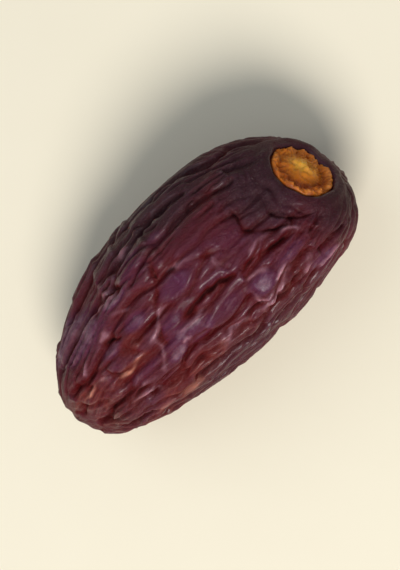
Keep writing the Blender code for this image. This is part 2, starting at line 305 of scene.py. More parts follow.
def packetRings(band):
    draw = np.random.default_rng(band["seed"])
    along, lengths = skinLengths()
    ringGap = band["gap"] * band["along"]
    rings = max(3, round(lengths[-1] / ringGap))
    nudge, mostAlong, jitter = packets["nudge"], packets["mostAlong"], packets["jitter"]
    for ring in range(rings):
        middle = np.interp((ring + 0.5) / rings * lengths[-1], lengths, along)
        girth = turn * halfShare(middle) * (fruit["width"] + fruit["height"]) / 4.0
        count = max(3, round(girth / (band["gap"] * band["across"])))
        places = []
        for step in range(count):
            drift = packets["drift"] * ringGap * draw.normal() / (fruit["length"] / 2.0)
            share = (step + 0.5 * (ring % 2) + draw.uniform(-jitter, jitter)) / count
            lean = band["tilt"] * draw.normal()
            phase = draw.uniform(-np.pi, np.pi)
            places.append((np.clip(middle + drift, -mostAlong, mostAlong), share * turn, lean, phase))
        at, angle, lean, phase = np.array(places).T
        lengthwise = unit(bodyPoints(at + nudge, angle) - bodyPoints(at - nudge, angle))
        crosswise = bodyPoints(at, angle + nudge) - bodyPoints(at, angle - nudge)
        crosswise = unit(crosswise - lengthwise * (crosswise * lengthwise).sum(axis=1, keepdims=True))
        cosine, sine = np.cos(lean)[:, None], np.sin(lean)[:, None]
        wave = crosswise * cosine + lengthwise * sine
        crest = lengthwise * cosine - crosswise * sine
        yield bodyPoints(at, angle), wave, crest, phase


# The packets' sum at each point, as a complex number whose size is how strong the wrinkles are.
def packetSum(points, band):
    total = np.zeros(len(points), complex)
    reach = packets["reach"] * band["along"]
    for centres, waves, crests, phases in packetRings(band):
        middle, spread = centres[:, 0].mean(), np.ptp(centres[:, 0]) / 2.0 + reach
        near = np.flatnonzero(np.abs(points[:, 0] - middle) < spread)
        part = points[near]
        for centre, wave, crest, phase in zip(centres, waves, crests, phases):
            offset = part - centre
            squares = (offset**2).sum(axis=1)
            close = np.flatnonzero(squares < reach**2)
            offset, squares = offset[close], squares[close]
            across, along = offset @ wave, offset @ crest
            narrow = (squares - along**2) / band["across"] ** 2
            envelope = np.exp(-0.5 * (narrow + along**2 / band["along"] ** 2))
            total[near[close]] += envelope * np.exp(1j * (turn * across / band["pitch"] + phase))
    return total


# The section of a crease, 1 at its bottom: a narrow groove with a softer slope beside it.
def creaseSection(gap, cut):
    groove = np.exp(-((gap / cut["groove"]) ** cut["power"])) * (1.0 - cut["slopeShare"])
    return groove + np.exp(-gap / cut["slope"]) * cut["slopeShare"]


# A band's creases, and the thin line that stands up along their edges.
def creaseDepth(total, pitch, cut):
    gap = (np.pi - np.abs(np.angle(total))) / turn * pitch
    strength = smoothStep(np.abs(total) / cut["fade"])
    return creaseSection(gap, cut) * strength, bell(gap, *cut["edgePlace"]) * strength


# A gentle random swell: a sum of long waves, stretched along x, some shorter and some longer.
def slowWaves(points, seed, pitch, stretch=1.0, waves=24, shares=(0.6, 1.3)):
    draw = np.random.default_rng(seed)
    wave = draw.normal(size=(waves, 3))
    wave *= turn / pitch * draw.uniform(*shares, (waves, 1)) / np.linalg.norm(wave, axis=1)[:, None]
    wave[:, 0] /= stretch
    phase = draw.uniform(0.0, turn, waves)
    return np.sin(points @ wave.T + phase).sum(axis=1) / np.sqrt(waves / 2.0)


# Where the camera looks from: this far from straight above, towards the stem end.
cameraTilt = np.radians(15.0)

# Creases on the side that the camera sees, as (u, v) in millimetres in its view: u runs along the
# fruit to the stem end and v to the side that it bows to. After each route come its depth and how
# much its left side stands higher.
seenCreases = [
    # The middle and its plate.
    ([(5.0, -2.6), (2.3, -1.8), (-0.3, -1.5), (-3.0, -1.8), (-5.4, -2.1)], 0.95, 0.5),
    ([(-1.1, 8.4), (-2.3, 6.3), (-3.3, 4.0), (-4.8, 2.3), (-6.7, 1.0)], 0.7, -0.6),
    ([(-6.7, 1.0), (-8.0, -0.6), (-8.8, -2.1), (-9.0, -3.7)], 0.8, -0.7),
    ([(-3.3, 4.0), (-1.3, 3.7), (0.9, 2.5), (3.1, 2.3), (6.0, 1.2)], 0.5, -0.5),
    # Towards the tip.
    ([(-15.4, 3.9), (-13.6, 3.3), (-11.7, 2.0)], 0.95, 0.6),
    ([(-12.9, 2.3), (-13.0, 0.7), (-11.9, -1.5), (-10.1, -1.8)], 0.55, 0.5),
    ([(-21.9, 0.6), (-19.3, -0.2), (-17.1, -0.4)], 0.6, -0.4),
    ([(-17.1, 1.5), (-16.7, -0.9), (-14.8, -1.9), (-12.6, -2.4)], 0.7, 0.6),
    ([(-20.1, -5.7), (-16.8, -5.3), (-13.4, -5.7), (-11.6, -6.0)], 0.6, 0.3),
    # The side nearer the light and the scar.
    ([(-2.5, -7.5), (-0.3, -8.6), (2.1, -8.9), (4.0, -7.9), (6.7, -8.5)], 0.8, -0.6),
    ([(4.4, -9.3), (8.1, -9.4), (11.8, -9.2), (14.8, -8.9)], 0.7, 0.4),
    ([(7.0, -8.5), (10.0, -8.6), (13.1, -7.9), (15.3, -6.8)], 0.6, -0.3),
    ([(11.3, 4.6), (10.8, 2.2), (11.5, -0.9), (14.1, -2.7), (16.5, -3.2)], 0.65, -0.9),
    ([(14.4, 1.2), (15.6, -1.2), (17.6, -3.5), (19.8, -4.7)], 0.5, -0.8),
    ([(11.5, -1.0), (10.4, -2.3), (7.9, -2.6), (5.0, -2.6)], 0.5, 0.5),
    ([(17.0, -5.6), (14.3, -4.3), (10.7, -3.6), (7.1, -3.8)], 0.55, -0.5),
    # The far side.
    ([(14.9, 8.2), (11.8, 8.4), (8.4, 9.0), (4.8, 8.3), (1.9, 7.3)], 0.4, 0.5),
    ([(6.3, 12.1), (2.5, 11.2), (-0.7, 11.0), (-4.5, 10.5)], 0.6, 0.4),
    ([(-10.0, 8.5), (-8.2, 7.9), (-6.6, 7.1)], 0.95, 0.5),
    ([(-13.5, 7.0), (-10.3, 7.7), (-7.9, 7.2)], 0.7, -0.4),
    ([(-11.4, 8.2), (-12.0, 7.5), (-12.6, 6.6)], 0.85, 0.4),
    # Below the plate.
    ([(-9.3, -6.3), (-6.9, -5.6), (-3.7, -5.6), (-2.5, -7.5)], 0.55, 0.6),
    ([(-4.5, -9.4), (-7.5, -8.6), (-9.9, -8.5), (-12.4, -8.6)], 0.55, 0.4),
]
creaseShape = {
    "groove": 0.19,  # half width of the narrow bottom
    "power": 1.5,
    "slope": 0.75,  # how far its sides slope away
    "slopeShare": 0.38,
    "step": 1.9,  # one side stands higher than the other, out to here
    "stepHeight": 0.28,
    "stepSoftness": 0.25,
    "reach": 5.7,
    "ends": (0.25, 0.3),  # the share of its length over which it begins and stops
    "uneven": (0.3, 1.4),
}
creaseWander = {"seed": 41, "pitches": (4.0, 1.4), "sizes": (0.24, 0.08), "stretch": 1.4}
creaseStrength = {"seed": 50, "pitch": 3.0, "middle": 0.85, "spread": 0.35}
# They fade in from here, over this much, as the skin turns towards the camera.
seenSide = (0.12, 0.25)

# Thin ridges there that catch the light, with how strong each is. A painted highlight is laid along each as
# well.
seenCrests = [
    # Towards the tip.
    ([(-22.1, -0.3), (-19.7, -0.3), (-17.5, -0.6)], 0.9),
    ([(-17.0, -1.7), (-14.8, -1.9), (-12.9, -1.7), (-11.2, -1.9)], 0.9),
    # The middle and its plate.
    ([(-10.8, -1.6), (-8.7, -0.4), (-6.6, 0.6), (-5.0, 0.7), (-3.3, 0.1)], 0.75),
    ([(-8.7, -0.4), (-9.7, -2.7), (-10.5, -4.6), (-11.5, -5.8)], 0.5),
    ([(-6.5, -2.7), (-4.3, -2.9), (-1.9, -2.9), (0.7, -2.8)], 0.65),
    # The side nearer the light.
    ([(-4.2, -8.5), (-0.7, -8.6), (2.2, -8.8), (3.7, -8.8)], 0.6),
    ([(4.0, -8.9), (7.3, -8.5), (10.0, -8.1), (12.3, -7.8)], 0.9),
    ([(11.3, -9.2), (13.6, -8.7), (15.6, -8.0)], 0.8),
    ([(13.8, -10.2), (16.2, -9.7), (18.9, -9.6)], 0.9),
    # The blister and beside the scar.
    ([(5.7, -5.3), (7.2, -4.6), (9.0, -4.9), (9.6, -5.9)], 0.8),
    ([(4.8, -6.1), (4.6, -7.3), (5.8, -7.9), (7.7, -7.3)], 0.75),
    ([(8.6, -7.3), (10.3, -6.7), (11.8, -6.2)], 1.0),
    ([(13.1, -3.1), (14.9, -3.5), (16.7, -5.0)], 0.6),
    ([(7.6, -2.1), (10.1, -1.9), (12.1, -2.3)], 0.7),
    # The far side.
    ([(-6.0, 11.1), (-4.0, 11.3), (-2.0, 11.1), (-0.7, 10.4)], 0.9),
    ([(-12.6, 7.1), (-10.8, 7.7), (-8.4, 7.0)], 1.0),
    ([(-14.5, 7.6), (-12.7, 8.0), (-11.0, 8.5), (-8.9, 8.7)], 1.0),
    ([(-15.6, 4.3), (-14.4, 4.4), (-13.0, 4.9)], 0.45),
    # Round the tip.
    ([(-17.6, 3.8), (-18.9, 2.5), (-20.3, 1.5)], 0.9),
    ([(-20.6, 4.3), (-19.6, 4.6), (-18.5, 4.7)], 0.7),
    ([(-12.1, 5.8), (-10.2, 4.9), (-8.4, 4.0)], 0.7),
    ([(-15.3, -4.8), (-13.7, -5.1), (-11.9, -5.8)], 0.8),
    ([(-18.7, -5.7), (-16.0, -6.1), (-13.3, -7.0)], 0.7),
    ([(-12.7, -9.9), (-10.0, -10.5), (-8.3, -10.4)], 0.4),
    ([(-18.1, -8.2), (-15.7, -9.3), (-12.9, -10.1)], 0.35),
    # The top and the shoulder.
    ([(-2.1, 4.0), (0.0, 3.4), (2.4, 3.2), (3.8, 2.6)], 0.4),
    ([(4.0, 1.8), (4.3, 0.3), (4.4, -1.1)], 0.3),
    ([(-6.9, -4.9), (-5.7, -4.8), (-5.2, -5.6)], 0.6),
]
crestShape = {"half": 0.23, "height": 0.28, "reach": 1.0, "ends": (0.3, 0.3), "uneven": (0.2, 1.2)}


# A smooth curve through given points, each stretch a cubic that leaves and arrives along
# the line between its neighbours.
def routeCurve(points, steps=12):
    points = np.array(points)
    padded = np.vstack([2 * points[0] - points[1], points, 2 * points[-1] - points[-2]])
    share = np.linspace(0.0, 1.0, steps, endpoint=False)[:, None]
    stretches = []
    for before, start, end, after in zip(padded, padded[1:], padded[2:], padded[3:]):
        leave, arrive = (end - before) / 2.0, (after - start) / 2.0
        stretches.append(
            start * (2 * share**3 - 3 * share**2 + 1)
            + leave * (share**3 - 2 * share**2 + share)
            + end * (3 * share**2 - 2 * share**3)
            + arrive * (share**3 - share**2)
        )
    return np.vstack(stretches + [points[-1:]])


# Distance from each place to a route, less than 0 on its right, and how far along it is, 0 to 1.
def routeDistance(places, route):
    start, step = route[:-1], np.diff(route, axis=0)
    length = np.linalg.norm(step, axis=1)
    offset = places[:, None, :] - start[None, :, :]
    share = np.clip((offset * step).sum(axis=2) / length**2, 0.0, 1.0)
    gaps = np.linalg.norm(offset - share[..., None] * step, axis=2)
    nearest = gaps.argmin(axis=1)
    rows = np.arange(len(places))
    walked = np.concatenate([[0.0], np.cumsum(length)])
    near = offset[rows, nearest]
    side = np.sign(step[nearest, 0] * near[:, 1] - step[nearest, 1] * near[:, 0])
    reached = (walked[nearest] + share[rows, nearest] * length[nearest]) / walked[-1]
    return gaps[rows, nearest] * side, reached


# The strongest of several soft ellipses, each given by its middle, half widths and strength.
def softSpots(u, v, spots):
    total = np.zeros(len(u))
    for middleU, middleV, halfU, halfV, strength in spots:
        gap = ((u - middleU) / halfU) ** 2 + ((v - middleV) / halfV) ** 2
        total = np.maximum(total, strength * bell(gap))
    return total


# The points' places in the camera's view, wandering a little so that no crease is too smooth.
def seenPlaces(points, u, v):
    places = np.stack([u, v], axis=1)
    for number, (pitch, size) in enumerate(zip(creaseWander["pitches"], creaseWander["sizes"])):
        for way in (0, 1):
            seed = creaseWander["seed"] + 2 * number + way
            places[:, way] += size * slowWaves(points, seed, pitch, creaseWander["stretch"])
    return places


# The places within reach of a route, their distance from it and its strength there, which rises
# and falls at its ends and is uneven.
def alongRoute(route, places, uneven, shape):
    curve = routeCurve(route)
    low, high = curve.min(axis=0) - shape["reach"], curve.max(axis=0) + shape["reach"]
    near = np.flatnonzero(((places > low) & (places < high)).all(axis=1))
    gap, share = routeDistance(places[near], curve)
    begin, stop = shape["ends"]
    strength = smoothStep(share / begin) * smoothStep((1.0 - share) / stop)
    return near, gap, strength * np.clip(uneven[near], *shape["uneven"])


# The seen creases, how one side of each stands higher, and the seen crests under bell curves.
def seenRelief(points, normals, u, v):
    view = np.array([np.sin(cameraTilt), 0.0, np.cos(cameraTilt)])
    facing = smoothStep(normals @ view, *seenSide)
    places = seenPlaces(points, u, v)
    uneven = slowWaves(points, creaseStrength["seed"], creaseStrength["pitch"])
    uneven = creaseStrength["middle"] + creaseStrength["spread"] * uneven
    hollow, step, crest = np.zeros((3, len(points)))
    for route, depth, lean in seenCreases:
        near, gap, strength = alongRoute(route, places, uneven, creaseShape)
        section = creaseSection(np.abs(gap), creaseShape)
        hollow[near] = np.maximum(hollow[near], section * depth * strength)
        side = np.tanh(gap / creaseShape["stepSoftness"]) * bell(gap, 0.0, creaseShape["step"])
        step[near] += creaseShape["stepHeight"] * depth * lean * side * strength
    for route, strongest in seenCrests:
        near, gap, strength = alongRoute(route, places, uneven, crestShape)
        line = bell(gap, 0.0, crestShape["half"]) * strongest * strength
        crest[near] = np.maximum(crest[near], line)
    return hollow * facing, step * facing, crest * facing


# How far each kind of relief goes, in millimetres.
relief = {
    "swell": 0.45,
    "swellSeed": 3,
    "swellPitch": 16.0,
    "swellStretch": 2.2,
    "folds": 1.3,
    "ridges": 0.5,
    "pleats": 0.16,
    "facets": 0.55,
    "facetFade": 0.6,
}
# Ridges and pleats take turns, zone by zone, and each keeps this share where the other rules.
zones = {"seed": 5, "stretch": 1.5, "contrast": 1.2, "keep": 0.35, "busyPleats": 1.5}
# Folds are lower on the top, and lower still on the smooth places.
upper = {"above": (0.45, 0.4), "ease": 0.35, "keep": 0.25, "fade": 4.0}
# Faint rings in the skin round the scar.
scarArcs = {
    "height": 0.12, "pitch": 1.9, "place": (6.5, 2.6), "wander": 0.35,
    "seed": 7, "wobblePitch": 5.0, "uneven": (0.6, 0.4),
}
# Each band's creases: their section, the thin edge that stands up, and how strong the painted highlight
# along that edge is.
creaseCuts = {
    "folds": {
        "groove": 0.42, "power": 1.3, "slope": 1.1, "slopeShare": 0.45, "fade": 0.7,
        "edge": 0.12, "edgePlace": (0.85, 0.22), "line": 1.0,
    },
    "ridges": {
        "groove": 0.26, "power": 1.3, "slope": 0.6, "slopeShare": 0.4, "fade": 1.1,
        "edge": 0.12, "edgePlace": (0.52, 0.16), "line": 0.8,
    },
    "pleats": {
        "groove": 0.18, "power": 1.3, "slope": 0.3, "slopeShare": 0.4, "fade": 1.1,
        "edge": 0.02, "edgePlace": (0.35, 0.12), "line": 0.6,
    },
}

# Broad plates on the seen side that the wrinkles mostly leave alone: middle, half widths, strength.
smoothPlaces = [
    (4.6, 4.4, 4.6, 3.2, 0.85), (8.6, 1.2, 3.2, 2.6, 0.8), (-1.5, 2.0, 3.4, 1.9, 0.75),
    (-5.4, -3.6, 2.8, 2.1, 0.7), (1.1, -5.4, 3.4, 1.6, 0.65), (7.1, -6.2, 2.6, 1.5, 0.85),
    (15.8, 3.2, 5.0, 5.5, 0.65), (-14.0, 0.2, 2.2, 1.2, 0.5),
]
# Places full of fine long ridges: towards the tip, and low on the side nearer the light.
busyPlaces = [
    (-18.0, -4.0, 9.0, 8.0, 1.0), (4.0, -10.5, 13.0, 3.4, 1.0), (-10.0, 9.0, 9.0, 3.0, 0.9),
    (13.0, -6.0, 6.0, 3.0, 0.8),
]
blister = {"place": (7.1, -6.2, 2.5, 1.35), "height": 0.28, "edge": (0.8, 0.35)}
# What counts as a fold's red inside, and its painted shade where deepest, from the depth of all creases
# together.
hollowRange = {"from": 0.12, "most": 2.0, "ridges": 0.5, "seen": 1.67}


# All the bands: how deep the creases of each and the facets are, how far the creases' edges stand
# up, and how strong the painted highlights along them are.
def bandRelief(points, u, v, onTop):
    creases = {
        name: creaseDepth(packetSum(points, bands[name]), bands[name]["pitch"], cut)
        for name, cut in creaseCuts.items()
    }
    # Flat places that meet at an angle: the phase itself, as a wave with straight sides.
    facet = packetSum(points, bands["facets"])
    facet = np.abs(np.angle(facet)) / np.pi * smoothStep(np.abs(facet) / relief["facetFade"])
    above = smoothStep(points[:, 2] / (fruit["height"] / 2.0), *upper["above"])
    zone = slowWaves(points, zones["seed"], relief["swellPitch"], zones["stretch"])
    zone = 0.5 + 0.5 * np.tanh(zones["contrast"] * zone)
    keep = 1.0 - softSpots(u, v, smoothPlaces) * onTop
    busy = softSpots(u, v, busyPlaces) * onTop
    least = zones["keep"]
    shares = {
        "folds": (1.0 - upper["ease"] * above) * (upper["keep"] + (1.0 - upper["keep"]) * keep),
        "ridges": np.maximum(least + (1.0 - least) * zone, busy) * keep,
        "pleats": np.maximum(1.0 - (1.0 - least) * zone, zones["busyPleats"] * busy) * keep,
    }
    depth, edges = [{name: creases[name][part] * shares[name] for name in shares} for part in (0, 1)]
    raised = sum(creaseCuts[name]["edge"] * edges[name] for name in edges)
    line = np.maximum.reduce([creaseCuts[name]["line"] * edges[name] for name in edges])
    return depth, relief["facets"] * facet, raised, line


# The puckers at the tip: narrow creases that run to it, a dry point and a shallow moat round it.
def tipRelief(points, fromTip):
    offset = points - bodyPoints(-1.0, 0.0)
    angle = np.arctan2(offset[:, 2], offset[:, 1])
    wander = slowWaves(points, tip["seed"], tip["pitch"])
    crease = np.cos(tip["puckers"] / 2.0 * angle + tip["puckerWander"] * wander)
    middle, swing, times = tip["puckerUneven"]
    crease = (1.0 - np.abs(crease)) ** tip["puckerPinch"] * (middle + swing * np.cos(times * angle + wander))
    crease = crease * bell(fromTip, 0.0, tip["puckerReach"]) * smoothStep(fromTip, *tip["puckerStart"])
    point = tip["point"] * bell(fromTip, 0.0, tip["pointWidth"])
    moat = tip["moat"] * bell(fromTip, *tip["moatPlace"])
    return point - moat - tip["puckerDepth"] * crease, crease


# How far the skin stands out at each point, and the values that its colours are read from.
def skinRelief(points, normals, u, v):
    onTop = smoothStep(points[:, 2] / upper["fade"])
    depth, facets, raisedEdge, line = bandRelief(points, u, v, onTop)
    print("wrinkle bands worked out")

    fromScar = scarGap(points)
    fromTip = np.linalg.norm(points - bodyPoints(-1.0, 0.0), axis=1)
    calm = smoothStep(fromScar, stemEnd["radius"], stemEnd["calm"])
    calm = calm * (tip["keep"] + (1.0 - tip["keep"]) * smoothStep(fromTip / tip["calm"]))
    swell = slowWaves(points, relief["swellSeed"], relief["swellPitch"], relief["swellStretch"])
    fine = relief["ridges"] * depth["ridges"] + relief["pleats"] * depth["pleats"]
    skin = relief["swell"] * swell - relief["folds"] * depth["folds"] - fine * calm - facets + raisedEdge

    seenHollow, seenStep, seenCrest = seenRelief(points, normals, u, v)
    middleU, middleV, halfU, halfV = blister["place"]
    fromBlister = np.hypot((u - middleU) / halfU, (v - middleV) / halfV)
    placed = blister["height"] * (1.0 - smoothStep(fromBlister, *blister["edge"])) * onTop
    placed = placed - seenHollow + seenStep + crestShape["height"] * seenCrest

    lip = stemEnd["lip"] * bell(fromScar, *stemEnd["lipPlace"])
    dish = stemEnd["dish"] * (1.0 - smoothStep(fromScar / stemEnd["radius"], *stemEnd["dishEdge"]))
    wobble = slowWaves(points, scarArcs["seed"], scarArcs["wobblePitch"])
    arcs = np.cos(turn * (fromScar + scarArcs["wander"] * wobble) / scarArcs["pitch"])
    middle, swing = scarArcs["uneven"]
    arcs = scarArcs["height"] * arcs * bell(fromScar, *scarArcs["place"]) * (middle + swing * wobble)
    puckered, pucker = tipRelief(points, fromTip)
    height = skin * calm + placed + lip - dish + arcs + puckered

    hollow = (depth["folds"] + hollowRange["ridges"] * depth["ridges"]) * calm
    hollow = hollow + hollowRange["seen"] * seenHollow + tip["puckerRed"] * pucker
    hollow = np.clip((hollow - hollowRange["from"]) / (1.0 - hollowRange["from"]), 0.0, hollowRange["most"])
    return height, hollow, line * calm, seenCrest, fromScar, fromTip


# Averages each value with its neighbours, wrapping round the columns.
def softened(values, times):
    for _ in range(times):
        values = (np.roll(values, 1, axis=1) + 2.0 * values + np.roll(values, -1, axis=1)) / 4.0
        padded = np.vstack([values[:1], values, values[-1:]])
        values = (padded[:-2] + 2.0 * padded[1:-1] + padded[2:]) / 4.0
    return values


# Faces of a closed skin: a point at each end, fans to the first and last rings, squares between.
def skinFaces(rows, columns):
    index = np.arange(rows * columns).reshape(rows, columns)
    after = np.roll(index, -1, axis=1)
    squares = np.stack([index[:-1], index[1:], after[1:], after[:-1]], axis=-1).reshape(-1, 4)
    first, last = rows * columns, rows * columns + 1
    start = np.stack([np.full(columns, first), index[0], after[0]], axis=-1)
    end = np.stack([np.full(columns, last), after[-1], index[-1]], axis=-1)
    return squares, np.vstack([start, end])


# A closed piece from rings of points and a point at each end, with values at the points. The step
# that brings the fruit to its solid's own box brings both pieces there.
def meshPiece(name, rings, ends, fruitBox, layers, material):
    low, high = fruitBox
    points = np.vstack([rings.reshape(-1, 3), ends])
    points = dateLow + (points - low) / (high - low) * (dateHigh - dateLow)
    squares, triangles = skinFaces(*rings.shape[:2])
    mesh = bpy.data.meshes.new(name)
    mesh.from_pydata(points.tolist(), [], squares.tolist() + triangles.tolist())
    for key, layer in layers.items():
        values = np.concatenate([layer.ravel(), [layer[0].mean(), layer[-1].mean()]])
        mesh.attributes.new(key, "FLOAT", "POINT").data.foreach_set("value", values.astype(np.float32))
    mesh.validate()
    mesh.shade_smooth()
    mesh.materials.append(material)
    print(f"{name} made: {len(points)} points, {2 * len(squares) + len(triangles)} triangles")
    return addObject(name, mesh)


def addObject(name, data):
    made = bpy.data.objects.new(name, data)
    bpy.context.scene.collection.objects.link(made)
    return made


# Nodes, placed in columns as they are made.
class Tree:
    def __init__(self, tree):
        self.tree = tree
        self.count = 0

    def node(self, kind, inputs=None, **settings):
        made = self.tree.nodes.new(kind)
        made.location = (220 * (self.count // 6), -260 * (self.count % 6))
        self.count += 1
        for key, value in settings.items():
            setattr(made, key, value)
        for key, value in (inputs or {}).items():
            self.feed(made.inputs[key], value)
        return made

    def feed(self, socket, value):
        if isinstance(value, bpy.types.NodeSocket):
            self.tree.links.new(value, socket)
        else:
            socket.default_value = value

    def attribute(self, name):
        return self.node("ShaderNodeAttribute", attribute_name=name).outputs["Fac"]

    def math(self, operation, first, second=0.0):
        return self.node("ShaderNodeMath", {0: first, 1: second}, operation=operation).outputs["Value"]

    def times(self, first, second):
        return self.math("MULTIPLY", first, second)

    def spread(self, value, low, high, toLow=0.0, toHigh=1.0):
        return self.node(
            "ShaderNodeMapRange",
            {"Value": value, "From Min": low, "From Max": high, "To Min": toLow, "To Max": toHigh},
        ).outputs["Result"]

    # A value made uneven by a cloud, which leaves between these two shares of it.
    def mottled(self, value, cloud, least, most):
        return self.times(value, self.spread(cloud, 0.0, 1.0, least, most))

    def mix(self, share, first, second):
        made = self.node("ShaderNodeMix", data_type="RGBA")
        self.feed(made.inputs[0], share)
        self.feed(made.inputs[6], first)
        self.feed(made.inputs[7], second)
        return made.outputs[2]

    # Colours laid over one another, each with the share that it covers.
    def layered(self, colour, layers):
        for share, tint in layers:
            colour = self.mix(share, colour, tint)
        return colour

    def noise(self, vector, scale, detail, roughness, distortion=0.0):
        inputs = {"Vector": vector, "Scale": scale, "Detail": detail}
        inputs.update({"Roughness": roughness, "Distortion": distortion})
        return self.node("ShaderNodeTexNoise", inputs).outputs["Fac"]

    def placed(self, group, inputs):
        return self.node("ShaderNodeGroup", inputs, node_tree=group)

    def cloud(self, blotches, scale, low, high):
        return self.placed(blotches, {"Scale": scale, "Low": low, "High": high}).outputs["Mask"]

    # Sets the sockets that a finish gives plain values, and joins a bump made from heights.
    def finished(self, shader, finish, height=None):
        for label, value in finish["plain"].items():
            shader.inputs[label].default_value = value
        if height is not None:
            bump = {"Height": height, "Strength": finish["bumpStrength"], "Distance": finish["bumpDistance"]}
            self.feed(shader.inputs["Normal"], self.node("ShaderNodeBump", bump).outputs["Normal"])


def rgb(red, green, blue):
    return (red, green, blue, 1.0)


def newMaterial(name):
    material = bpy.data.materials.new(name)
    material.use_nodes = True
    material.node_tree.nodes.clear()
    tree = Tree(material.node_tree)
    output = tree.node("ShaderNodeOutputMaterial")
    shader = tree.node("ShaderNodeBsdfPrincipled")
    tree.feed(output.inputs["Surface"], shader.outputs["BSDF"])
    return material, tree, shader


def newGroup(name, inputs, outputs):
    group = bpy.data.node_groups.new(name, "ShaderNodeTree")
    for way, sockets in (("INPUT", inputs), ("OUTPUT", outputs)):
        for label, kind in sockets.items():
            group.interface.new_socket(label, in_out=way, socket_type=f"NodeSocket{kind}")
    tree = Tree(group)
    return group, tree, tree.node("NodeGroupInput").outputs, tree.node("NodeGroupOutput").inputs


# Fine crinkle: noise stretched along the fruit, folded into thin lines, with pores over it.
crinkleNoise = {
    "broad": (5.0, 0.6, 0.6),  # detail, roughness, distortion
    "grain": (3.0, 0.6),
    "grainScale": 3.2,
    "middle": 0.5,  # the value that the lines follow
    "lineWidth": 0.1,
    "shares": (0.6, 0.4),  # of the lines and of the grain
    "speckle": (0.6, 0.72),
}
# Blotches: a soft cloud between 0 and 1, wide and even, for bloom and stains.
blotchNoise = (5.0, 0.62, 0.4)


def makeCrinkle():
    look = crinkleNoise
    group, tree, given, result = newGroup(
        "fineCrinkle", {"Scale": "Float", "Stretch": "Vector"}, {"Height": "Float", "Speckle": "Float"}
    )
    place = tree.node("ShaderNodeTexCoord").outputs["Object"]
    stretch = tree.node("ShaderNodeVectorMath", {0: place, 1: given["Stretch"]}, operation="MULTIPLY")
    broad = tree.noise(stretch.outputs["Vector"], given["Scale"], *look["broad"])
    gap = tree.math("ABSOLUTE", tree.math("SUBTRACT", broad, look["middle"]))
    line = tree.spread(gap, 0.0, look["lineWidth"])
    grain = tree.noise(place, tree.times(given["Scale"], look["grainScale"]), *look["grain"])
    parts = [tree.times(part, share) for part, share in zip((line, grain), look["shares"])]
    tree.feed(result["Height"], tree.math("ADD", *parts))
    tree.feed(result["Speckle"], tree.spread(grain, *look["speckle"]))
    return group


def makeBlotches():
    inputs = {"Scale": "Float", "Low": "Float", "High": "Float"}
    group, tree, given, result = newGroup("softBlotches", inputs, {"Mask": "Float"})
    place = tree.node("ShaderNodeTexCoord").outputs["Object"]
    cloud = tree.noise(place, given["Scale"], *blotchNoise)
    tree.feed(result["Mask"], tree.spread(cloud, given["Low"], given["High"]))
    return group


skinFinish = {
    "flesh": rgb(0.07, 0.003, 0.006),  # thin skin over dark flesh
    "crease": rgb(0.08, 0.0012, 0.0015),  # saturated red where it folds in
    # Painted shade in the deepest creases.
    "pit": rgb(0.032, 0.0005, 0.0007),
    "line": rgb(0.2, 0.055, 0.062),  # painted highlight, thin, along the edges of the creases
    # Painted highlight along the crease edges, orange towards the tip.
    "warmLine": rgb(0.3, 0.06, 0.03),
    "light": rgb(0.44, 0.2, 0.245),  # painted highlight where a thin ridge shines
    # Painted highlight on the thin crests, orange towards the tip.
    "warmLight": rgb(0.59, 0.225, 0.15),
    "waxAndSheen": rgb(0.082, 0.0135, 0.044),  # dull mauve wax on what stands out, with a painted sheen of cool light on it
    "silverSheen": rgb(0.29, 0.17, 0.205),  # painted sheen, silvery, where the wax is thickest
    "warm": rgb(0.12, 0.008, 0.004),  # lit through, towards the tip
    "dullAndShade": rgb(0.0185, 0.0082, 0.0118),  # grey-brown on the shoulder, the far edge and low on the side nearer the light: dull skin with painted shade
    "dust": rgb(0.3, 0.24, 0.2),
    "crinkle": {"Scale": 1300.0, "Stretch": (0.4, 1.0, 1.0)},
    "clouds": ((110.0, 0.4, 0.62), (420.0, 0.42, 0.66)),  # wide and small: scale, low, high
    # What the small cloud leaves of each.
    "mottle": {
        "waxAndSheen": (0.45, 0.8), "pale": (0.68, 1.05), "warm": (0.55, 1.0),
        "line": (0.2, 0.55), "light": (0.6, 1.0), "coat": (0.35, 1.0),
    },
    "wideMottle": (0.35, 1.0),
    # From and to which value each rises, and from and to which share.
    "waxAndSheenRange": (0.25, 0.8, 0.1, 1.0),
    "coatRange": (0.6, 0.92, 0.0, 0.55),
    "silverSheenRange": (0.9, 1.9),
    "nearWarm": (0.1, 0.5),
    "creaseRange": (0.0, 0.85, 0.0, 0.95),
    "pitRange": (0.85, 1.5, 0.0, 0.8),
    "smoothAndDull": (0.4, 0.56),  # roughness of the bare skin and of the bloom
    "hollowDull": (0.6, 1.4, 0.0, 0.35),
    "duskShare": 0.8,
    "dustShares": (0.05, 0.22),  # all over, and more where it is grey-brown
    "plain": {
        "Specular IOR Level": 0.16,
        "Coat Roughness": 0.17,
        "Subsurface Weight": 0.12,
        "Subsurface Radius": (1.0, 0.22, 0.1),
        "Subsurface Scale": 0.0016,
    },
    "bumpDistance": 0.00017,
    "bumpStrength": 0.65,
}
# Values at the skin's points that its colours are read from.
# Among them are painted highlights along crease edges and on crests, a painted sheen on the wax, and painted
# shade where the skin is grey-brown.
skinLayers = ("hollow", "crown", "line", "light", "pale", "warm", "dullAndShade")


